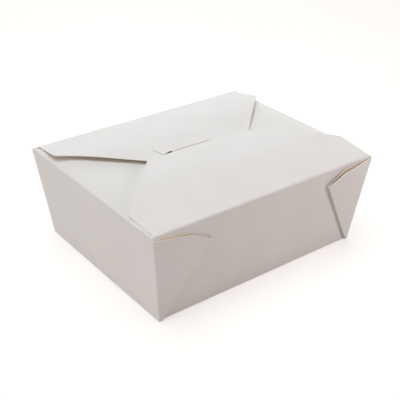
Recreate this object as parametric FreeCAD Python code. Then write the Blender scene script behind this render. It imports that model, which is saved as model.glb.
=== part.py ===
import FreeCAD, Part
import math
import os

# A takeout food box folded from one sheet of white food board. Four walls lean outwards from a
# rectangular base. At each corner a web of board is folded in two and laid on the outside of the
# long wall. Two end flaps lie flat over the food, the rear flap lies over them, and the front
# flap comes last and pushes a tongue through a slit in the rear flap.
# +X runs along the box, the front is at -Y, and the origin is the centre of the base.

Vector = FreeCAD.Vector

# Board
board = 0.5              # thickness of the sheet
fold_radius = 0.6        # middle of the sheet, at every fold of base, rim and tongue

# Tray, over the outside of the walls
height = 63.5            # base to the rim folds
rim_length = 171.0
rim_width = 138.0
base_length = 155.5
base_width = 123.5

# Front and rear flaps, seen from above
front_root_inset = 1.3     # each end of the front flap's fold stops this far inside the rim
rear_root_inset = 4.5
flap_shoulder_inset = 2.0  # each shoulder stands this far inside the rim
flap_shoulder_reach = 26.0  # fold to shoulder
flap_edge_angle = 43.7     # slanting edge against the flap's own length
flap_corner_radius = 3.0
front_flap_reach = 70.5    # front rim to the flap's free edge

# Bow of the front and rear flaps: the crown is where the slope changes
front_crown_reach = 38.0
front_crown_rise = 5.9
front_tip_rise = 5.3
front_bow_radius = 200.0
rear_crown_reach = 35.0
rear_crown_rise = 6.0
rear_tip_rise = 3.6
rear_bow_radius = 150.0

# End flaps
end_flap_reach = 58.0
end_flap_rise = 1.6          # height of the flat part over the rim
end_flap_ramp = 12.0         # length over which it rises
end_flap_ramp_radius = 30.0
end_flap_root_inset = 4.5    # each end of the fold stops this far inside the rim
end_flap_relief = 10.0       # the corners are cut off at 45 degrees over this length
end_flap_tip_width = 60.0

# Tongue of the front flap and the slit that holds it
tongue_width = 44.0
tongue_length = 9.5
tongue_corner_radius = 4.0
slit_front_clearance = 0.4  # between the tongue and the slit's front side
slit_rear_clearance = 1.2
slit_margin = 8.6          # board left between the slit and the rear flap's free edge
slit_length = 59.0
hook_width = 0.8           # the slit's ends turn back in two hooked cuts
hook_radius = 18.7
hook_sweep = 24.6          # degrees

# Fold between the front wall and the front flap
hinge_gap = 0.12

# Corner webs, measured from the corner edge along the long wall
web_crease_angle = 30.8    # crease against the vertical, in the wall's plane
web_crease_start = 1.6     # width of the folded point at the base
web_pocket_gap = 0.2       # between the two layers at the corner edge
web_wall_bite = 0.1        # how deep the inner layer is pressed into the wall at the corner
web_edge_height = 61.8     # top edge at the corner
web_shoulder = (25.5, 58.0)
web_point = (39.5, 50.2)
front_left_web = (2.2, 1.0)   # degrees: how far it stands off the wall, how far it gapes
front_right_web = (3.5, 2.6)
rear_left_web = (2.7, 1.7)
rear_right_web = (2.7, 1.7)

# Derived values
half_board = board / 2
end_lean = (rim_length - base_length) / 2 / height
long_lean = (rim_width - base_width) / 2 / height
end_skin = half_board * math.hypot(1, end_lean)     # outer face to middle, level with the table
long_skin = half_board * math.hypot(1, long_lean)
fold_foot = height - fold_radius - half_board       # where the rim folds begin
hinge_y = -(rim_width / 2 - long_skin)
tongue_y = -rim_width / 2 + front_flap_reach - half_board
slit_front = tongue_y - half_board - slit_front_clearance
slit_width = slit_front_clearance + board + slit_rear_clearance
rear_flap_reach = rim_width / 2 - slit_front + slit_margin   # rear rim to the flap's free edge
overhang = rim_length      # longer than anything that is trimmed


def rounded_path(points, radii):
    """Straight runs joined by tangent arcs, one radius for each inner point."""
    edges = []
    start = points[0]
    for before, corner, after, radius in zip(points, points[1:], points[2:], radii):
        back = (before - corner).normalize()
        ahead = (after - corner).normalize()
        half_angle = back.getAngle(ahead) / 2
        middle = (back + ahead).normalize()
        centre = corner + middle * (radius / math.sin(half_angle))
        arc_start = corner + back * (radius / math.tan(half_angle))
        arc_end = corner + ahead * (radius / math.tan(half_angle))
        edges.append(Part.makeLine(start, arc_start))
        edges.append(Part.Arc(arc_start, centre - middle * radius, arc_end).toShape())
        start = arc_end
    edges.append(Part.makeLine(start, points[-1]))
    return Part.Wire(edges)


def board_section(path):
    """Face of the board's thickness along a path through the middle of the sheet."""
    return path.makeOffset2D(half_board, 0, True)


def prism(path, direction):
    """Solid between a path, the line that closes it and their copy moved along direction."""
    ends = [path.OrderedVertexes[-1].Point, path.OrderedVertexes[0].Point]
    outline = Part.Wire(path.Edges + [Part.makeLine(*ends)])
    return Part.Face(outline).extrude(direction)


def between_walls(half_base, lean, top, across):
    """The space between two leaning walls, up to the given height and endless along the walls."""
    def corner(side, z):
        return across * (side * (half_base + lean * z)) + Vector(0, 0, z)
    points = [corner(-1, 0), corner(1, 0), corner(1, top), corner(-1, top)]
    along = Vector(0, 0, 1).cross(across)
    face = Part.Face(Part.makePolygon(points + points[:1]))
    face.translate(along * -overhang)
    return face.extrude(along * (2 * overhang))


def flap_prism(side, reach, root_inset):
    """Plan outline of the front (side -1) or rear (side 1) flap, extruded upwards."""
    rim_y = rim_width / 2
    tip_inset = flap_shoulder_inset + (reach - flap_shoulder_reach) * math.tan(
        math.radians(flap_edge_angle))
    half = [(root_inset, -board), (flap_shoulder_inset, flap_shoulder_reach), (tip_inset, reach)]
    left = [Vector(-rim_length / 2 + inset, side * (rim_y - run), fold_foot) for inset, run in half]
    right = [Vector(-point.x, point.y, point.z) for point in reversed(left)]
    path = rounded_path(left + right, [flap_corner_radius] * 4)
    return prism(path, Vector(0, 0, height))


def end_flap_prism(side):
    """Plan outline of the left (side -1) or right (side 1) end flap, extruded upwards."""
    root_y = rim_width / 2 - end_flap_root_inset
    half = [(-board, root_y), (0, root_y), (end_flap_relief, root_y - end_flap_relief),
            (end_flap_reach, end_flap_tip_width / 2)]
    near = [Vector(side * (rim_length / 2 - run), y, fold_foot) for run, y in half]
    far = [Vector(point.x, -point.y, point.z) for point in reversed(near)]
    radii = [board, flap_corner_radius, flap_corner_radius]
    return prism(rounded_path(near + far, radii + radii[::-1]), Vector(0, 0, height))


def flap_line(side, reach, crown_reach, crown_rise, tip_rise):
    """Middle of a front or rear flap: its crown and its tip."""
    root_y = rim_width / 2 - long_skin
    crown = Vector(0, side * (root_y - crown_reach), height + crown_rise)
    tip = Vector(0, side * (rim_width / 2 - reach + half_board), height + tip_rise)
    return [crown, tip]


def long_strip():
    """Front wall, base, rear wall and rear flap, folded from one run of board."""
    front_rim = Vector(0, hinge_y, height)
    rear_rim = Vector(0, -hinge_y, height)
    front_base = Vector(0, -base_width / 2 + long_skin, half_board)
    rear_base = Vector(0, base_width / 2 - long_skin, half_board)
    crown, tip = flap_line(1, rear_flap_reach, rear_crown_reach, rear_crown_rise, rear_tip_rise)
    path = rounded_path([front_rim, front_base, rear_base, rear_rim, crown, tip],
                        [fold_radius, fold_radius, fold_radius, rear_bow_radius])
    section = board_section(path)
    section.translate(Vector(-overhang, 0, 0))
    strip = section.extrude(Vector(2 * overhang, 0, 0))
    walls = between_walls(base_length / 2, end_lean, fold_foot, Vector(1, 0, 0))
    edge_length = rim_length - 2 * front_root_inset
    front_edge = Part.makeBox(edge_length, 4 * board, height,
                              Vector(-edge_length / 2, hinge_y - 2 * board, fold_foot))
    rear_flap = flap_prism(1, rear_flap_reach, rear_root_inset)
    return strip.common(walls.fuse([front_edge, rear_flap]))


def end_strip():
    """Left end flap, end wall, base, end wall and right end flap."""
    rim_x = rim_length / 2 - end_skin
    base_x = base_length / 2 - end_skin
    tip_x = rim_length / 2 - end_flap_reach + half_board
    half = [Vector(tip_x, 0, height + end_flap_rise),
            Vector(rim_x - end_flap_ramp, 0, height + end_flap_rise),
            Vector(rim_x, 0, height),
            Vector(base_x, 0, half_board)]
    other = [Vector(-point.x, point.y, point.z) for point in reversed(half)]
    radii = [end_flap_ramp_radius, fold_radius, fold_radius]
    section = board_section(rounded_path(half + other, radii + radii[::-1]))
    section.translate(Vector(0, -overhang, 0))
    strip = section.extrude(Vector(0, 2 * overhang, 0))
    walls = between_walls(base_width / 2, long_lean, fold_foot, Vector(0, 1, 0))
    return strip.common(walls.fuse([end_flap_prism(side) for side in (-1, 1)]))


def slit():
    """The cut in the rear flap: a straight run with a hooked cut at each end."""
    depth = 2 * board
    z = height + rear_tip_rise - depth
    reach_up = rear_crown_rise - rear_tip_rise + 2 * depth
    straight = Part.makeBox(slit_length, slit_width, reach_up,
                            Vector(-slit_length / 2, slit_front, z))
    inner = hook_radius - hook_width / 2
    outer = hook_radius + hook_width / 2
    cut = straight
    for side in (-1, 1):
        centre = Vector(side * (slit_length / 2 - hook_width / 2 + hook_radius), slit_front, z)
        ring = Part.makeCylinder(outer, reach_up, centre, Vector(0, 0, 1), hook_sweep)
        ring = ring.cut(Part.makeCylinder(inner, reach_up, centre))
        turn = 180 - hook_sweep if side > 0 else 0
        ring.rotate(centre, Vector(0, 0, 1), turn)
        cut = cut.fuse(ring)
    return cut


def web_section(z, side_x, side_y, stand_off, gape):
    """Level section of a corner web: round the corner, out to the crease and back to the wall."""
    def place(along, out):
        x = side_x * (base_length / 2 + end_lean * z - along)
        y = side_y * (base_width / 2 + long_lean * z + out)
        return Vector(x, y, z)

    def direction(angle):
        return math.cos(math.radians(angle)), math.sin(math.radians(angle))

    def on_line(point, angle, distance):
        run, rise = direction(angle)
        return point[0] + run * distance, point[1] + rise * distance

    crease_run = math.tan(math.radians(web_crease_angle)) * math.hypot(1, long_lean) + end_lean
    crease = web_crease_start + crease_run * z
    inner_angle = stand_off - gape
    outer_angle = stand_off + gape
    inner_start = (2 * board, half_board - web_wall_bite)
    outer_start = (inner_start[0], inner_start[1] + board + web_pocket_gap)
    # The two layers meet at a virtual apex behind the corner; the crease is an arc tangent to both
    spacing = outer_start[1] - inner_start[1]
    apex_run = spacing / (math.tan(math.radians(outer_angle)) - math.tan(math.radians(inner_angle)))
    apex = (inner_start[0] - apex_run,
            inner_start[1] - apex_run * math.tan(math.radians(inner_angle)))
    full_length = (crease - apex[0]) / math.cos(math.radians(stand_off))
    spread = math.sin(math.radians(gape))
    centre_distance = full_length / (1 + spread)
    tangent_distance = centre_distance * math.cos(math.radians(gape))
    outer_end = on_line(apex, outer_angle, tangent_distance)
    inner_end = on_line(apex, inner_angle, tangent_distance)
    tip = on_line(apex, stand_off, full_length)
    corner = (half_board, outer_start[1] - (outer_start[0] - half_board)
              * math.tan(math.radians(outer_angle)))
    start = (half_board, -board)
    wrapped = rounded_path([place(*start), place(*corner), place(*outer_end)], [fold_radius])
    hairpin = Part.Arc(place(*outer_end), place(*tip), place(*inner_end)).toShape()
    return_run = Part.makeLine(place(*inner_end), place(*inner_start))
    return Part.Wire(wrapped.Edges + [hairpin, return_run])


def corner_web(side_x, side_y, shape):
    """Web of board folded in two on the outside of a long wall, trimmed to its cut edge."""
    low = fold_radius + half_board
    high = height + 2 * board
    sections = []
    for z in (low, high):
        middle = web_section(z, side_x, side_y, *shape)
        sections.append(middle.makeOffset2D(half_board, 0, False))
    web = Part.makeLoft(sections, True, True)
    if web.Volume < 0:
        web.reverse()

    corner_x = base_length / 2 + end_lean * height
    slope = (web_point[1] - web_shoulder[1]) / (web_point[0] - web_shoulder[0])
    beyond = 2 * web_point[0]
    outline = [(-web_point[0], 0), (-web_point[0], web_edge_height), (0, web_edge_height),
               web_shoulder, (beyond, web_point[1] + slope * (beyond - web_point[0])), (beyond, 0)]
    points = [Vector(side_x * (corner_x - run), 0, z) for run, z in outline]
    face = Part.Face(Part.makePolygon(points + points[:1]))
    return web.common(face.extrude(Vector(0, side_y * rim_width, 0)))


def carton():
    """Everything that stays still when the front flap opens."""
    corners = [(-1, -1, front_left_web), (1, -1, front_right_web),
               (-1, 1, rear_left_web), (1, 1, rear_right_web)]
    webs = [corner_web(*corner) for corner in corners]
    sheet = long_strip().fuse([end_strip()] + webs)
    return sheet.cut(slit()).removeSplitter()


def front_flap():
    """The front flap with its tongue, a hair's breadth off the front wall at the fold."""
    def strip(points, radii, half_width):
        section = board_section(rounded_path(points, radii))
        section.translate(Vector(-half_width, 0, 0))
        return section.extrude(Vector(2 * half_width, 0, 0))

    crown, tip = flap_line(-1, front_flap_reach, front_crown_reach, front_crown_rise,
                           front_tip_rise)
    axis = Vector(0, hinge_y, height)
    root = axis + (crown - axis).normalize() * (board + hinge_gap)
    flap = strip([root, crown, tip], [front_bow_radius], overhang)
    flap = flap.common(flap_prism(-1, front_flap_reach, front_root_inset))

    foot = tip - Vector(0, 0, tongue_length)
    tongue = strip([root, crown, tip, foot], [front_bow_radius, fold_radius], tongue_width / 2)
    above = Vector(tongue_width / 2, 0, height + front_crown_rise + board)
    below = Vector(tongue_width / 2, 0, foot.z - half_board)
    outline = rounded_path([Vector(-above.x, 0, above.z), Vector(-below.x, 0, below.z), below, above],
                           [tongue_corner_radius] * 2)
    outline.translate(Vector(0, -rim_width, 0))
    tongue = tongue.common(prism(outline, Vector(0, 2 * rim_width, 0)))
    return flap.fuse(tongue).removeSplitter()


def export(name, shape):
    """Write one piece and say how large it is."""
    solid = shape.Solids[0] if len(shape.Solids) == 1 else shape
    print(name, "solids", len(shape.Solids), "valid", shape.isValid(), "volume", round(shape.Volume))
    solid.exportStep("parts/" + name + ".step")


os.makedirs("parts", exist_ok=True)
export("carton", carton())
export("front_flap", front_flap())
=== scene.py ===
import math

import bpy
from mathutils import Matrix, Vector


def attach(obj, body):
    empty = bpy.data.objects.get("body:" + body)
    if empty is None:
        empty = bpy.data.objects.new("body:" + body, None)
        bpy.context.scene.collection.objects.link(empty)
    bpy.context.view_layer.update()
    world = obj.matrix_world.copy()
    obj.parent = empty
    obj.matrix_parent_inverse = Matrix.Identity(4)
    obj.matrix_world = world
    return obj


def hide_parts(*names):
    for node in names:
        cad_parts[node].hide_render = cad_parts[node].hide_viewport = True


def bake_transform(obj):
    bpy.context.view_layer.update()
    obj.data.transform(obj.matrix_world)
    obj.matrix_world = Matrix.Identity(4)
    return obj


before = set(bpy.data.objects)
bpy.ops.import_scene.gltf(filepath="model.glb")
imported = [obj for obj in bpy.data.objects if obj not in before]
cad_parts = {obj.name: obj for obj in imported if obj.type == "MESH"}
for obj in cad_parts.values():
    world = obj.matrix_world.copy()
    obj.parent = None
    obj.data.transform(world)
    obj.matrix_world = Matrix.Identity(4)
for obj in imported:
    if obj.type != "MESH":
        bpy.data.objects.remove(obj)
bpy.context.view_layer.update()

# A takeout food box folded from one sheet of white food board.
# Sizes are in millimetres and become metres when a mesh is written. +X runs along the box and
# the front wall is at -Y. Every surface is first drawn as the middle of the sheet.
MM = 0.001

# Board, and the radii of the middle of the sheet at its folds
BOARD = 0.5
HALF_BOARD = BOARD / 2
BASE_FOLD = 0.9
RIM_FOLD = 1.1
TONGUE_FOLD = 0.6
CORNER_FOLD = 0.7

# Tray, over the outside of the walls
HEIGHT = 63.5
RIM_LENGTH, RIM_WIDTH = 171.0, 138.0
BASE_LENGTH, BASE_WIDTH = 155.5, 123.5
END_LEAN = (RIM_LENGTH - BASE_LENGTH) / 2 / HEIGHT
LONG_LEAN = (RIM_WIDTH - BASE_WIDTH) / 2 / HEIGHT
HINGE_X = RIM_LENGTH / 2 - HALF_BOARD      # middle of the sheet at the rim folds
HINGE_Y = RIM_WIDTH / 2 - HALF_BOARD
FOLD_ROOM = 1.5                            # height of a rim fold, in radii of it
WALL_FOOT = HALF_BOARD + BASE_FOLD         # where the base folds end and the walls begin
WALL_TOP = HEIGHT - FOLD_ROOM * RIM_FOLD   # where the walls end and the rim folds begin
CORNER_TOP = HEIGHT - BOARD                # top of the walls beside the flaps

# Front and rear flaps
FRONT_ROOT_INSET, REAR_ROOT_INSET = 1.7, 4.5      # ends of the folds, in from the rim's corners
SHOULDER_INSET, SHOULDER_REACH = 2.0, 26.0
FRONT_EDGE, REAR_EDGE = math.radians(44.4), math.radians(45.6)   # slant past the shoulders
CORNER_RADIUS = 3.0
FRONT_REACH, REAR_REACH = 69.65, 77.0      # rim to free edge
FOLD_REACH = 2.0                           # the front fold's own strip ends here
FLAP_STEP = 2.5                            # at most, between two rows of a flap
SAME_ROW = HALF_BOARD / 10                 # distances nearer than this are one row

# The long flaps' right corners hang, and the front flap's left shoulder is pressed down, by these
# depths. The pairs say where that starts and where it is full, across the box and from the rim.
HANG_DEPTH, HANG_ACROSS, HANG_OUT = 1.6, (4.0, 44.0), (36.0, 76.0)
PRESS_DEPTH, PRESS_ACROSS, PRESS_OUT = 2.5, (64.0, 83.0), (0.0, SHOULDER_REACH)
PRESS_FADE = (SHOULDER_REACH, SHOULDER_REACH + 30.0)

# End flaps: half widths, and distances from the rim
END_ROOT, END_SHOULDER, END_TIP = 68.6, 66.0, 30.0
END_SHOULDER_REACH, END_REACH = 10.0, 58.0
END_RISE, END_RAMP, END_EASE = 2.3, 13.0, 4.0     # a ramp, and half the length of its bend
END_PRESS = (0.0, 9.0)                     # the press on the front flap is passed on over this
END_DIP, END_DIP_EASE = (0.0, 1.5), 0.4    # the long flaps press the corners down over this
LONG_CLIMB, LONG_CLEARANCE = 0.15, 1.0     # slope of the long flaps, and how far below they press

# Tongue, and the slit that holds it
TONGUE_HALF, TONGUE_LENGTH, TONGUE_CORNER = 22.0, 8.9, 4.0
SLIT_FRONT = 0.6
SLIT_LIP = ((-28.5, 1.9), (-21.5, 4.0), (-20.4, 2.8), (7.0, 2.6), (12.0, 1.8), (29.5, 1.2))
SLIT_HEIGHTS = (HEIGHT + 2, HEIGHT + 12)   # the cut goes through the rear flap between these
HOOK_RADIUS, HOOK_SWEEP = 18.7, math.radians(27.0)
OPEN_HOOK, SHUT_HOOK = 0.5, 0.04           # width of the left and the right hook

# Corner webs, measured from the corner edge along the long wall and out from its face
CREASE_START = 1.6
CREASE_FOOT_RADIUS, CREASE_FOOT_LIFT = 0.36, 0.9
OUTER_START, INNER_START = 1.1, 0.3        # of the two layers at the corner, out from the wall
INNER_INSET = 1.1
INNER_CURVE = 1.5                          # above 1, the inner layer leaves the wall late
EDGE_CURVE = 3                             # above 1, the cut edge leaves the corner's top late
HAIRPIN = (INNER_START + HALF_BOARD) / 2

# Mesh density
WALL_ROWS, TONGUE_ROWS = 36, 10
LONG_COLUMNS, END_COLUMNS, LAYER_COLUMNS = 48, 36, 9
BESIDE_TONGUE, ACROSS_TONGUE = 12, 26
FOLD_STEPS, CORNER_STEPS, HOOK_STEPS = 6, 8, 8
EDGE_TRIES = 30                            # of the search for a cut edge's height
BASE_LOOPS = (0.03, 0.3, 0.6)              # rings of the base, as shares of the way to its middle

# Material slots of a piece of board, after slot 0 for its coated face
EDGE, INSIDE = 1, 2

# Finishes, from their darker to their lighter patches
COATED_WHITE = (0.800, 0.785, 0.772), (0.830, 0.818, 0.807)
COATED_ROUGHNESS = (0.46, 0.46, 0.46), (0.56, 0.56, 0.56)
BARE_TAN = (0.88, 0.77, 0.60), (0.93, 0.83, 0.67)
EDGE_CREAM = (0.93, 0.89, 0.80), (0.97, 0.94, 0.87)
FLOOR_GREY = (0.72, 0.69, 0.66), (0.74, 0.71, 0.68)
PATCH_START, PATCH_END = 0.3, 0.7          # share of the pattern where dark ends and light begins

# Camera, and how far its aim is moved across and up
CAMERA_AZIMUTH, CAMERA_ELEVATION, CAMERA_ROLL = map(math.radians, (-37.462, 29.284, 0.507))
CAMERA_DISTANCE, CAMERA_NEAR = 546.1, 10.0
CAMERA_LENS, CAMERA_SENSOR = 73.94, 36.0
CAMERA_AIM = Vector((0, 0, 34.16))
CAMERA_SHIFT = Vector((-0.429, -5.742))

# Floor and light, in metres and watts
FLOOR_HALF = 3.0
FLOOR_LIFT = 0.46                          # glow that takes the floor to white in the picture
WHITE = (1, 1, 1, 1)
STUDIO_COLOUR, STUDIO_STRENGTH = (1.0, 0.895, 0.86, 1), 0.15
LAMP_TARGET = Vector((0, 0, 0.03))
SOFTBOXES = (                              # name, place, size, power, colour
    ("overhead", (-0.15, 0.1, 1.15), 1.1, 8.4, (0.96, 1.0, 1.0)),
    ("left", (-1.2, -0.1, 0.42), 0.8, 4.3, (1.0, 0.925, 0.915)),
    ("rear", (0.9, 1.2, 0.5), 1.2, 5.6, (0.94, 1.0, 1.0)),
    ("right", (0.4, -0.5, 0.28), 0.1, 1.12, (1.0, 0.87, 0.86)),
)


class Bow:
    """Side view of a front or rear flap: two slopes joined by an arc at the crown."""

    def __init__(self, side, reach, crown_reach, crown_rise, tip_rise, radius):
        self.side = side
        self.crown_reach = crown_reach
        self.crown_rise = crown_rise
        self.climb = crown_rise / crown_reach
        self.fall = (tip_rise - crown_rise) / (reach - crown_reach)
        self.cut = radius * (self.climb - self.fall) / 2

    def rise(self, run):
        if run < self.crown_reach - self.cut:
            return self.climb * run
        if run > self.crown_reach + self.cut:
            return self.crown_rise + self.fall * (run - self.crown_reach)
        past = run - self.crown_reach + self.cut
        return self.climb * run - past ** 2 * (self.climb - self.fall) / (4 * self.cut)


FRONT_BOW = Bow(side=-1, reach=FRONT_REACH, crown_reach=38.0, crown_rise=5.7, tip_rise=5.45,
                radius=200.0)
REAR_BOW = Bow(side=1, reach=REAR_REACH, crown_reach=35.0, crown_rise=6.0, tip_rise=4.6,
               radius=150.0)


class Web:
    """How one corner web stands at the rim, and the cut edges of its two layers."""

    def __init__(self, crease_run, lift, crease_radius, swell, outer_edge, inner_edge):
        self.crease_run = crease_run          # crease away from the corner, for each mm of height
        self.lift = lift                      # crease off the wall
        self.crease_radius = crease_radius
        self.swell = swell                    # how far the outer layer bulges
        self.outer_edge = outer_edge          # corner, shoulder and crease: along, height
        self.inner_edge = inner_edge


def rear_web():
    cut = ((0, 62.5), (25.5, 58), (39, 50.2))
    return Web(crease_run=0.72, lift=1.4, crease_radius=0.6, swell=0.9,
               outer_edge=cut, inner_edge=cut)


# The four webs, by the side of the box along X and along Y that their corner is on
WEBS = {
    (-1, -1): Web(crease_run=0.775, lift=1.2, crease_radius=0.45, swell=0.2,
                  outer_edge=((0, 61.7), (25.5, 56.6), (39.0, 48.6)),
                  inner_edge=((0, 62.4), (25.0, 57.8), (37.5, 49.6))),
    (1, -1): Web(crease_run=0.665, lift=1.6, crease_radius=0.42, swell=1.4,
                 outer_edge=((0, 63.0), (24.5, 58.8), (36.5, 52.2)),
                 inner_edge=((0, 63.2), (25.0, 60.2), (36.0, 52.8))),
    (-1, 1): rear_web(),
    (1, 1): rear_web(),
}


def lerp(a, b, t):
    """The value a share t of the way from a to b."""
    return a + (b - a) * t


def spread(start, end, count):
    """Even values from start to end, both included."""
    return [lerp(start, end, i / count) for i in range(count + 1)]


def soft_step(value, span):
    """0 before a span and 1 after it, with a soft start and end."""
    start, end = span
    t = min(max((value - start) / (end - start), 0), 1)
    return t * t * (3 - 2 * t)


def interpolate(pairs, x):
    """Height at x of a line through pairs, its last stretch carried on."""
    for (x0, y0), (x1, y1) in zip(pairs, pairs[1:]):
        if x <= x1:
            break
    return lerp(y0, y1, (x - x0) / (x1 - x0))


def bend(corner, back, ahead, radius, steps):
    """Points of the arc that rounds a corner between two directions."""
    back, ahead = back.normalized(), ahead.normalized()
    half_angle = back.angle(ahead) / 2
    cut = radius / math.tan(half_angle)
    centre = corner + (back + ahead).normalized() * (radius / math.sin(half_angle))
    first, last = corner + back * cut - centre, corner + ahead * cut - centre
    angle = first.angle(last)
    return [centre + (first * math.sin((1 - t) * angle) + last * math.sin(t * angle)) / math.sin(angle)
            for t in spread(0, 1, steps)]


class Sheet:
    """Points and faces of the middle of a sheet of board, in millimetres."""

    def __init__(self):
        self.points = []
        self.faces = []

    def row(self, points):
        """Add points and hand back their numbers."""
        first = len(self.points)
        self.points.extend(points)
        return list(range(first, first + len(points)))

    def join(self, lower, upper, closed=False):
        """Quads between two rows of as many points, facing out when lower runs to the right."""
        count = len(lower) if closed else len(lower) - 1
        for i in range(count):
            j = (i + 1) % len(lower)
            self.faces.append([lower[i], lower[j], upper[j], upper[i]])

    def join_all(self, rows):
        for lower, upper in zip(rows, rows[1:]):
            self.join(lower, upper)

    def mesh(self, name):
        data = bpy.data.meshes.new(name)
        data.from_pydata([point * MM for point in self.points], [], self.faces)
        return data


# Flaps

def hang(x, run):
    """How the right corner of a long flap's free edge hangs."""
    return -HANG_DEPTH * soft_step(x, HANG_ACROSS) * soft_step(run, HANG_OUT)


def press(x, run):
    """How the front flap's left shoulder is pressed down, and the end flap under it too."""
    out = soft_step(run, PRESS_OUT) * (1 - soft_step(run, PRESS_FADE))
    return -PRESS_DEPTH * soft_step(-x, PRESS_ACROSS) * out


def flap_point(bow, x, run):
    """Middle of the front or rear flap, run being the distance from its fold."""
    z = HEIGHT + bow.rise(run) + hang(x, run)
    if bow is FRONT_BOW:
        z += press(x, run)
    return Vector((x, bow.side * (HINGE_Y - run), z))


def end_flap_point(side, y, run):
    """Middle of an end flap: a ramp, then flat, and pressed down under the two long flaps."""
    if run < END_RAMP - END_EASE:
        rise = run * END_RISE / END_RAMP
    elif run > END_RAMP + END_EASE:
        rise = END_RISE
    else:
        rise = END_RISE - (END_RAMP + END_EASE - run) ** 2 * END_RISE / END_RAMP / (4 * END_EASE)
    excess = rise + LONG_CLEARANCE - LONG_CLIMB * (RIM_WIDTH / 2 - abs(y))
    dip = (excess + math.hypot(excess, END_DIP_EASE)) / 2 * soft_step(run, END_DIP)
    x = side * (HINGE_X - run)
    pressed = press(x, HINGE_Y + y) * soft_step(run, END_PRESS)
    return Vector((x, y, HEIGHT + rise - dip + pressed))


def outline(points):
    """Half a flap's outline as (run, half width) pairs, with its two free corners rounded."""
    pairs = [Vector((run, half, 0)) for run, half in points]
    pairs.append(Vector((pairs[-1].x, 0, 0)))
    result = [pairs[0]]
    for before, corner, after in zip(pairs, pairs[1:], pairs[2:]):
        result += bend(corner, before - corner, after - corner, CORNER_RADIUS, CORNER_STEPS)
    return [(point.x, point.y) for point in result]


def long_outline(reach, root_inset, edge_angle):
    """Half outline of the front or rear flap."""
    half = RIM_LENGTH / 2
    tip = half - SHOULDER_INSET - (reach - SHOULDER_REACH) * math.tan(edge_angle)
    return outline([(0, half - root_inset), (SHOULDER_REACH, half - SHOULDER_INSET), (reach, tip)])


def end_outline():
    """Half outline of an end flap."""
    return outline([(0, END_ROOT), (END_SHOULDER_REACH, END_SHOULDER), (END_REACH, END_TIP)])


def flap_runs(pairs):
    """Distances at which a flap gets a row: those of its outline and enough between them."""
    runs = [FOLD_REACH]
    for run, _ in pairs:
        if run > runs[-1] + SAME_ROW:
            runs += spread(runs[-1], run, math.ceil((run - runs[-1]) / FLAP_STEP))[1:]
    return runs


def half_width(pairs, run):
    """Half width of a flap at a row."""
    return pairs[-1][1] if run >= pairs[-1][0] - SAME_ROW else interpolate(pairs, run)


def fold_flap(sheet, top, place, pairs):
    """Rim fold and flap on the top edge of a wall; top holds its points and their shares."""
    root = pairs[0][1]
    arcs = []
    for index, share in top:
        corner = place(share * root, 0)
        ahead = place(share * root, 2 * FOLD_REACH)
        arcs.append(bend(corner, sheet.points[index] - corner, ahead - corner, RIM_FOLD, FOLD_STEPS))
    rows = [[index for index, _ in top]] + [sheet.row(points) for points in zip(*arcs)]
    for run in flap_runs(pairs):
        half = half_width(pairs, run)
        rows.append(sheet.row([place(share * half, run) for _, share in top]))
    sheet.join_all(rows)


# Walls and corner webs

def web_stations(web):
    """The columns of a web in order from the end wall to the long wall: part and share."""
    def layer(edge):
        along, height = edge[1]
        shoulder = (along - INNER_INSET) / (CREASE_START + web.crease_run * height - INNER_INSET)
        return spread(0, shoulder, LAYER_COLUMNS) + spread(shoulder, 1, LAYER_COLUMNS)[1:]
    outer, inner = layer(web.outer_edge), layer(web.inner_edge)
    return ([("bend", t) for t in spread(0, 1, FOLD_STEPS)]
            + [("outer", t) for t in outer[1:-1]]
            + [("crease", t) for t in spread(0, 1, 2 * FOLD_STEPS)]
            + [("inner", t) for t in inner[-2:0:-1]]
            + [("hairpin", t) for t in spread(0, 1, FOLD_STEPS)])


def web_place(web, station, z):
    """Where a column of a web is at height z: along the long wall and out from its face."""
    part, t = station
    level = max(z, 0) / HEIGHT
    radius = lerp(CREASE_FOOT_RADIUS, web.crease_radius, level)
    lift = lerp(CREASE_FOOT_LIFT, web.lift, math.sqrt(level))
    turn = CREASE_START + web.crease_run * z - radius
    if part == "bend":
        a = t * math.pi / 2
        along = HALF_BOARD + CORNER_FOLD * (1 - math.cos(a))
        return along, OUTER_START + CORNER_FOLD * (math.sin(a) - 1)
    if part == "outer":
        bulge = web.swell * level * level * math.sin(math.pi * t)
        along = lerp(HALF_BOARD + CORNER_FOLD, turn, t)
        return along, lerp(OUTER_START, lift + radius, t) + bulge
    if part == "crease":
        a = math.pi * (0.5 - t)
        return turn + radius * math.cos(a), lift + radius * math.sin(a)
    if part == "inner":
        return lerp(INNER_INSET, turn, t), lerp(INNER_START, lift - radius, t ** INNER_CURVE)
    a = math.pi * (0.5 + t)
    return INNER_INSET + HAIRPIN * math.cos(a), INNER_START - HAIRPIN * (1 - math.sin(a))


def web_top(web, station, wall_top):
    """Height of a web's cut edge at one of its columns."""
    part, t = station
    edge = web.inner_edge if part in ("inner", "hairpin") else web.outer_edge
    if part == "bend":
        return lerp(CORNER_TOP, edge[0][1], t ** EDGE_CURVE)
    if part == "hairpin":
        return lerp(edge[0][1], wall_top, t)
    if part == "crease":
        return lerp(web.outer_edge[-1][1], web.inner_edge[-1][1], t)
    z = edge[-1][1]
    for _ in range(EDGE_TRIES):
        z = interpolate(edge, web_place(web, station, z)[0])
    return z


def web_columns(corner, wall_top):
    """Columns of a corner web, each its place at any height and its top."""
    side_x, side_y = corner
    web = WEBS[corner]

    def column(station):
        def place(z):
            along, out = web_place(web, station, z)
            return Vector((side_x * (BASE_LENGTH / 2 + END_LEAN * z - along),
                           side_y * (BASE_WIDTH / 2 + LONG_LEAN * z + out), z))
        return place, web_top(web, station, wall_top)
    return [column(station) for station in web_stations(web)]


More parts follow.
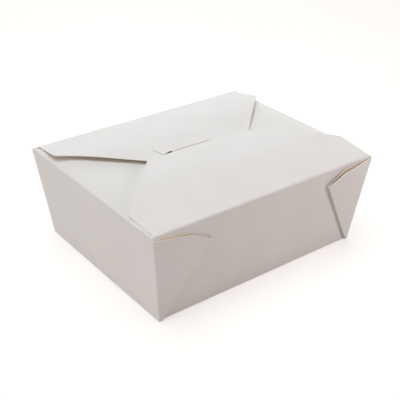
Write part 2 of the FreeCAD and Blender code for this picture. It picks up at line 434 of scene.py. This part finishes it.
def long_wall_place(side, share, z):
    """Point of the front or rear wall, a share of the way from its middle to its end."""
    half = BASE_LENGTH / 2 + END_LEAN * z - INNER_INSET
    return Vector((share * half, side * (BASE_WIDTH / 2 + LONG_LEAN * z - HALF_BOARD), z))


def end_wall_place(side, share, z):
    """Point of the right or left wall, a share of the way from its middle to its end."""
    half = BASE_WIDTH / 2 + LONG_LEAN * z + OUTER_START - CORNER_FOLD
    return Vector((side * (BASE_LENGTH / 2 + END_LEAN * z - HALF_BOARD), share * half, z))


def wall_columns(place, side, half, root, count, direction):
    """Columns of a wall; those under its flap end at the fold, and the rest reach the rim."""
    edge, beside = root / half, BOARD / half
    shares = [-(edge + beside)] + spread(-edge, edge, count) + [edge + beside]
    shares = [share for share in shares if abs(share) < 1]
    columns = []
    for share in shares:
        top = WALL_TOP if abs(share) <= edge + beside / 2 else CORNER_TOP
        columns.append((lambda z, share=share: place(side, direction * share, z), top))
    return columns


def tray_ring():
    """Columns right round the tray, and the numbers of those just before and after each wall."""
    long_half = long_wall_place(1, 1, WALL_TOP).x
    end_half = end_wall_place(1, 1, WALL_TOP).y
    front_root = long_half - BOARD
    rear_root = RIM_LENGTH / 2 - REAR_ROOT_INSET
    walls = [wall_columns(long_wall_place, -1, long_half, front_root, LONG_COLUMNS, 1),
             wall_columns(end_wall_place, 1, end_half, END_ROOT, END_COLUMNS, 1),
             wall_columns(long_wall_place, 1, long_half, rear_root, LONG_COLUMNS, -1),
             wall_columns(end_wall_place, -1, end_half, END_ROOT, END_COLUMNS, -1)]
    webs = [web_columns((-1, -1), WALL_TOP),
            web_columns((1, -1), WALL_TOP)[::-1],
            web_columns((1, 1), CORNER_TOP),
            web_columns((-1, 1), CORNER_TOP)[::-1]]
    ring = []
    spans = []
    for web, wall in zip(webs, walls):
        ring += web
        spans.append((len(ring) - 1, len(ring) + len(wall)))
        ring += wall
    return ring, spans


def under_flap(row, span, count, direction):
    """Points of a wall's top under its flap, with their share of the flap's half width."""
    start = (span[0] + span[1]) // 2 - count // 2
    return [(row[start + i], direction * share) for i, share in enumerate(spread(-1, 1, count))]


def carton_sheet():
    """Base, walls, webs, end flaps and rear flap as one sheet."""
    sheet = Sheet()
    ring, spans = tray_ring()
    rows = [sheet.row([place(lerp(WALL_FOOT, top, level)) for place, top in ring])
            for level in spread(0, 1, WALL_ROWS)]
    for lower, upper in zip(rows, rows[1:]):
        sheet.join(lower, upper, closed=True)
    close_base(sheet, rows[0], spans)
    right, rear, left = spans[1:]
    fold_flap(sheet, under_flap(rows[-1], rear, LONG_COLUMNS, -1),
              lambda x, run: flap_point(REAR_BOW, x, run),
              long_outline(REAR_REACH, REAR_ROOT_INSET, REAR_EDGE))
    for span, side in ((right, 1), (left, -1)):
        fold_flap(sheet, under_flap(rows[-1], span, END_COLUMNS, side),
                  lambda y, run, side=side: end_flap_point(side, y, run), end_outline())
    return sheet


def close_base(sheet, foot, spans):
    """Folds from the walls into the base, the base itself, and the feet of the webs."""
    inward = [Vector((0, 1, 0)), Vector((-1, 0, 0)), Vector((0, -1, 0)), Vector((1, 0, 0))]
    count = len(foot)
    folds = []
    for (first, last), ahead in zip(spans, inward):
        rows = [[foot[i % count] for i in range(first, last + 1)]]
        points = [sheet.points[i] for i in rows[0]]
        for a in spread(0, math.pi / 2, FOLD_STEPS)[1:]:
            drop = Vector((0, 0, BASE_FOLD * math.sin(a)))
            shift = ahead * (BASE_FOLD * (1 - math.cos(a))) - drop
            rows.append(sheet.row([point + shift for point in points]))
        sheet.join_all(rows[::-1])
        folds.append(rows)
    ring = []
    for rows, after in zip(folds, folds[1:] + folds[:1]):
        sheet.join_all([[rows[k][-1], after[k][0]] for k in range(FOLD_STEPS, -1, -1)])
        ring += rows[-1]
    middle = Vector((0, 0, HALF_BOARD))
    loops = [ring]
    for share in BASE_LOOPS:
        loops.append(sheet.row([sheet.points[i].lerp(middle, share) for i in ring]))
    for outer, inner in zip(loops, loops[1:]):
        sheet.join(inner, outer, closed=True)
    centre = sheet.row([middle])[0]
    inner = loops[-1]
    for i, j in zip(inner, inner[1:] + inner[:1]):
        sheet.faces.append([j, i, centre])
    for (_, last), (first, _) in zip(spans[-1:] + spans[:-1], spans):
        start = last % count
        sheet.faces.append([foot[i] for i in range(start, first + 1)][::-1])


# Front flap

def front_flap_sheet():
    """The front flap from just past its fold to its free edge, and its tongue."""
    pairs = long_outline(FRONT_REACH, FRONT_ROOT_INSET, FRONT_EDGE)
    edge = TONGUE_HALF / pairs[-1][1]
    shares = (spread(-1, -edge, BESIDE_TONGUE)[:-1] + spread(-edge, edge, ACROSS_TONGUE)
              + spread(edge, 1, BESIDE_TONGUE)[1:])
    sheet = Sheet()
    rows = []
    for run in flap_runs(pairs):
        half = half_width(pairs, run)
        rows.append(sheet.row([flap_point(FRONT_BOW, share * half, run) for share in shares]))
    sheet.join_all(rows)
    add_tongue(sheet, rows[-1][BESIDE_TONGUE:BESIDE_TONGUE + ACROSS_TONGUE + 1])
    return sheet


def add_tongue(sheet, root):
    """The tongue on the middle of the front flap's free edge: its fold, then straight down."""
    strip = [root]
    tips = [sheet.points[i] for i in root]
    for a in spread(0, math.pi / 2, FOLD_STEPS)[1:]:
        shift = Vector((0, TONGUE_FOLD * math.sin(a), TONGUE_FOLD * (math.cos(a) - 1)))
        strip.append(sheet.row([tip + shift for tip in tips]))
    for drop in spread(0, TONGUE_LENGTH, TONGUE_ROWS)[1:]:
        rounded = max(TONGUE_CORNER - (TONGUE_LENGTH - drop), 0)
        half = TONGUE_HALF - TONGUE_CORNER + math.sqrt(TONGUE_CORNER ** 2 - rounded ** 2)
        shift = Vector((0, TONGUE_FOLD, -TONGUE_FOLD - drop))
        points = [Vector((tip.x * half / TONGUE_HALF, tip.y, tip.z)) + shift for tip in tips]
        strip.append(sheet.row(points))
    sheet.join_all(strip)


def front_fold_sheet():
    """The strip of board that bends between the front wall and the front flap."""
    sheet = Sheet()
    root = RIM_LENGTH / 2 - FRONT_ROOT_INSET
    columns = []
    for share in spread(-1, 1, LONG_COLUMNS):
        foot = long_wall_place(-1, 1, WALL_TOP)
        foot.x *= share
        corner = flap_point(FRONT_BOW, share * root, 0)
        end = flap_point(FRONT_BOW, share * root, FOLD_REACH)
        arc = bend(corner, foot - corner, end - corner, RIM_FOLD, FOLD_STEPS)
        columns.append([foot] + arc + [end])
    sheet.join_all([sheet.row(points) for points in zip(*columns)])
    return sheet


# Materials

def new_material(name):
    """A material with its nodes, its links and its shader."""
    material = bpy.data.materials.new(name)
    material.use_nodes = True
    nodes = material.node_tree.nodes
    return material, nodes, material.node_tree.links, nodes["Principled BSDF"]


def noise(nodes, links, scale, detail, roughness=0.5):
    """A noise pattern fixed to the piece; scale is in patches for each metre."""
    coordinate = nodes.new("ShaderNodeTexCoord")
    texture = nodes.new("ShaderNodeTexNoise")
    texture.inputs["Scale"].default_value = scale
    texture.inputs["Detail"].default_value = detail
    texture.inputs["Roughness"].default_value = roughness
    links.new(coordinate.outputs["Object"], texture.inputs["Vector"])
    return texture.outputs["Fac"]


def patches(nodes, links, pattern, shades):
    """A pattern as patches between a darker and a lighter shade."""
    node = nodes.new("ShaderNodeValToRGB")
    for element, place, shade in zip(node.color_ramp.elements, (PATCH_START, PATCH_END), shades):
        element.position = place
        element.color = (*shade, 1)
    links.new(pattern, node.inputs["Fac"])
    return node.outputs["Color"]


def bump(nodes, links, height, distance, strength, normal=None):
    """A pattern as relief, on top of an earlier relief where one is given."""
    node = nodes.new("ShaderNodeBump")
    node.inputs["Distance"].default_value = distance
    node.inputs["Strength"].default_value = strength
    links.new(height, node.inputs["Height"])
    if normal is not None:
        links.new(normal, node.inputs["Normal"])
    return node.outputs["Normal"]


def coated_board():
    """White coated face: an even satin with a faint mottle and fibre relief."""
    material, nodes, links, shader = new_material("coated_board")
    mottle = noise(nodes, links, scale=45, detail=3)
    links.new(patches(nodes, links, mottle, COATED_WHITE), shader.inputs["Base Color"])
    satin = noise(nodes, links, scale=160, detail=4)
    links.new(patches(nodes, links, satin, COATED_ROUGHNESS), shader.inputs["Roughness"])
    shader.inputs["Specular IOR Level"].default_value = 0.4
    waves = noise(nodes, links, scale=40, detail=2)
    slow = bump(nodes, links, waves, distance=0.0008, strength=0.3)
    fibre = noise(nodes, links, scale=1600, detail=5, roughness=0.6)
    fine = bump(nodes, links, fibre, distance=0.00005, strength=0.35, normal=slow)
    links.new(fine, shader.inputs["Normal"])
    return material


def bare_board():
    """Uncoated inner face: warm, matt pulp with visible fibre."""
    material, nodes, links, shader = new_material("bare_board")
    fibre = noise(nodes, links, scale=420, detail=8, roughness=0.7)
    links.new(patches(nodes, links, fibre, BARE_TAN), shader.inputs["Base Color"])
    shader.inputs["Roughness"].default_value = 0.8
    relief = bump(nodes, links, fibre, distance=0.0001, strength=0.5)
    links.new(relief, shader.inputs["Normal"])
    return material


def cut_edge():
    """Raw edge of the board: cream pulp."""
    material, nodes, links, shader = new_material("cut_edge")
    fibre = noise(nodes, links, scale=900, detail=6, roughness=0.7)
    links.new(patches(nodes, links, fibre, EDGE_CREAM), shader.inputs["Base Color"])
    shader.inputs["Roughness"].default_value = 0.85
    relief = bump(nodes, links, fibre, distance=0.00015, strength=0.6)
    links.new(relief, shader.inputs["Normal"])
    return material


def background_rays(nodes, links):
    """1 for the rays that show the background itself, and 0 for those that light the box."""
    paths = nodes.new("ShaderNodeLightPath")
    seen = paths.outputs["Is Camera Ray"]
    for kind in ("Is Glossy Ray", "Is Transmission Ray"):
        either = nodes.new("ShaderNodeMath")
        either.operation = "MAXIMUM"
        links.new(seen, either.inputs[0])
        links.new(paths.outputs[kind], either.inputs[1])
        seen = either.outputs[0]
    return seen


def floor_material():
    """Pale floor that looks white to the camera and still takes the object's shadow."""
    material, nodes, links, shader = new_material("floor")
    tint = noise(nodes, links, scale=6, detail=2)
    links.new(patches(nodes, links, tint, FLOOR_GREY), shader.inputs["Base Color"])
    shader.inputs["Roughness"].default_value = 0.9
    lift = nodes.new("ShaderNodeMath")
    lift.operation = "MULTIPLY"
    lift.inputs[1].default_value = FLOOR_LIFT
    links.new(background_rays(nodes, links), lift.inputs[0])
    shader.inputs["Emission Color"].default_value = WHITE
    links.new(lift.outputs[0], shader.inputs["Emission Strength"])
    return material


# Pieces

def add_object(name, data):
    """A new object in the scene, at the origin."""
    thing = bpy.data.objects.new(name, data)
    bpy.context.collection.objects.link(thing)
    return thing


def baked(thing, name):
    """Plain mesh of an object as its modifiers make it."""
    bpy.context.view_layer.update()
    evaluated = thing.evaluated_get(bpy.context.evaluated_depsgraph_get())
    data = bpy.data.meshes.new_from_object(evaluated)
    data.name = name
    return data


def sharpen_cuts(data):
    """Sharp shading along every line where a face of the board meets a cut edge."""
    slots = {}
    for polygon in data.polygons:
        polygon.use_smooth = True
        for key in polygon.edge_keys:
            slots.setdefault(key, set()).add(polygon.material_index)
    for line in data.edges:
        line.use_edge_sharp = len(slots.get(line.key, ())) > 1


def board_piece(sheet, name, materials):
    """Give a sheet the board's thickness and hand back a plain mesh object."""
    shell = add_object(name + "_shell", sheet.mesh(name + "_shell"))
    for material in materials:
        shell.data.materials.append(material)
    solid = shell.modifiers.new("board", "SOLIDIFY")
    solid.thickness = BOARD * MM
    solid.offset = 0
    solid.material_offset = INSIDE
    solid.material_offset_rim = EDGE
    data = baked(shell, name)
    bpy.data.objects.remove(shell)
    return add_object(name, data)


def hook(side, start, width):
    """Curled end of the slit: an arc from start, and back along its other side."""
    centre = start[0] + side * HOOK_RADIUS

    def arc(radius):
        return [(centre - side * radius * math.cos(a), start[1] + radius * math.sin(a))
                for a in spread(0, HOOK_SWEEP, HOOK_STEPS)]
    return arc(HOOK_RADIUS) + arc(HOOK_RADIUS - width)[::-1]


def slit_outline():
    """The slit seen from above: its front side, and the lip pushed back by the tongue."""
    left = hook(-1, SLIT_LIP[0], OPEN_HOOK)
    right = hook(1, SLIT_LIP[-1], SHUT_HOOK)
    left_side = [(left[-1][0], SLIT_FRONT)] + left[::-1]
    right_side = right + [(right[-1][0], SLIT_FRONT)]
    return left_side + list(SLIT_LIP[1:-1]) + right_side


def cut_slit(piece, edge):
    """Cut the slit into the rear flap."""
    flat = slit_outline()[::-1]
    count = len(flat)
    points = [(x * MM, y * MM, z * MM) for z in SLIT_HEIGHTS for x, y in flat]
    faces = [list(range(count))[::-1], list(range(count, 2 * count))]
    faces += [[i, (i + 1) % count, count + (i + 1) % count, count + i] for i in range(count)]
    data = bpy.data.meshes.new("slit")
    data.from_pydata(points, [], faces)
    for _ in range(EDGE + 1):
        data.materials.append(edge)
    for polygon in data.polygons:
        polygon.material_index = EDGE
    cutter = add_object("slit", data)
    tool = piece.modifiers.new("slit", "BOOLEAN")
    tool.operation = "DIFFERENCE"
    tool.solver = "EXACT"
    tool.object = cutter
    cut = baked(piece, piece.name)
    piece.modifiers.remove(tool)
    piece.data = cut
    bpy.data.objects.remove(cutter)


def build_box():
    """The three pieces of the box; the carton and the front flap are tied to the bodies that they move
    with, and the fold is left unattached.
    """
    materials = (coated_board(), cut_edge(), bare_board())
    carton = board_piece(carton_sheet(), "carton_sheet", materials)
    cut_slit(carton, materials[EDGE])
    flap = board_piece(front_flap_sheet(), "front_flap_sheet", materials)
    fold = board_piece(front_fold_sheet(), "front_fold", materials)
    for piece in (carton, flap, fold):
        sharpen_cuts(piece.data)
    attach(carton, "box")
    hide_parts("carton")
    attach(flap, "lid_flap")
    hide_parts("front_flap")
    end = flap_point(FRONT_BOW, 0, FOLD_REACH) * MM
    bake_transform(fold)


# Camera, floor and light

def add_camera():
    """The camera, level but for a small roll, and looking at the aim."""
    a, e, r = CAMERA_AZIMUTH, CAMERA_ELEVATION, CAMERA_ROLL
    back = Vector((math.sin(a) * math.cos(e), -math.cos(a) * math.cos(e), math.sin(e)))
    level = (-back).cross(Vector((0, 0, 1))).normalized()
    upright = level.cross(-back)
    right = level * math.cos(r) + upright * math.sin(r)
    up = upright * math.cos(r) - level * math.sin(r)
    aim = CAMERA_AIM + right * CAMERA_SHIFT.x + up * CAMERA_SHIFT.y
    data = bpy.data.cameras.new("camera")
    data.lens = CAMERA_LENS
    data.sensor_width = CAMERA_SENSOR
    data.clip_start = CAMERA_NEAR * MM
    camera = add_object("camera", data)
    matrix = camera.matrix_world.to_3x3()
    matrix.col[0], matrix.col[1], matrix.col[2] = right, up, back
    camera.matrix_world = matrix.to_4x4()
    camera.location = (aim + back * CAMERA_DISTANCE) * MM
    bpy.context.scene.camera = camera


def add_floor():
    """A square floor under the box."""
    corners = ((-1, -1), (1, -1), (1, 1), (-1, 1))
    data = bpy.data.meshes.new("floor")
    data.from_pydata([(x * FLOOR_HALF, y * FLOOR_HALF, 0) for x, y in corners], [], [[0, 1, 2, 3]])
    data.materials.append(floor_material())
    add_object("floor", data)


def add_softbox(name, place, size, power, colour):
    """A square soft light that faces the box."""
    data = bpy.data.lights.new(name, "AREA")
    data.shape = "SQUARE"
    data.size = size
    data.energy = power
    data.color = colour
    lamp = add_object(name, data)
    lamp.location = place
    lamp.rotation_euler = (Vector(place) - LAMP_TARGET).to_track_quat("Z", "Y").to_euler()


def add_world():
    """A faint warm light from all round, behind a background that looks white."""
    world = bpy.data.worlds.new("studio")
    bpy.context.scene.world = world
    world.use_nodes = True
    nodes, links = world.node_tree.nodes, world.node_tree.links
    studio = nodes["Background"]
    studio.inputs["Color"].default_value = STUDIO_COLOUR
    studio.inputs["Strength"].default_value = STUDIO_STRENGTH
    white = nodes.new("ShaderNodeBackground")
    white.inputs["Color"].default_value = WHITE
    mix = nodes.new("ShaderNodeMixShader")
    links.new(background_rays(nodes, links), mix.inputs[0])
    links.new(studio.outputs[0], mix.inputs[1])
    links.new(white.outputs[0], mix.inputs[2])
    links.new(mix.outputs[0], nodes["World Output"].inputs["Surface"])


build_box()
add_camera()
add_floor()
add_world()
for softbox in SOFTBOXES:
    add_softbox(*softbox)
bpy.context.scene.view_settings.view_transform = "Standard"
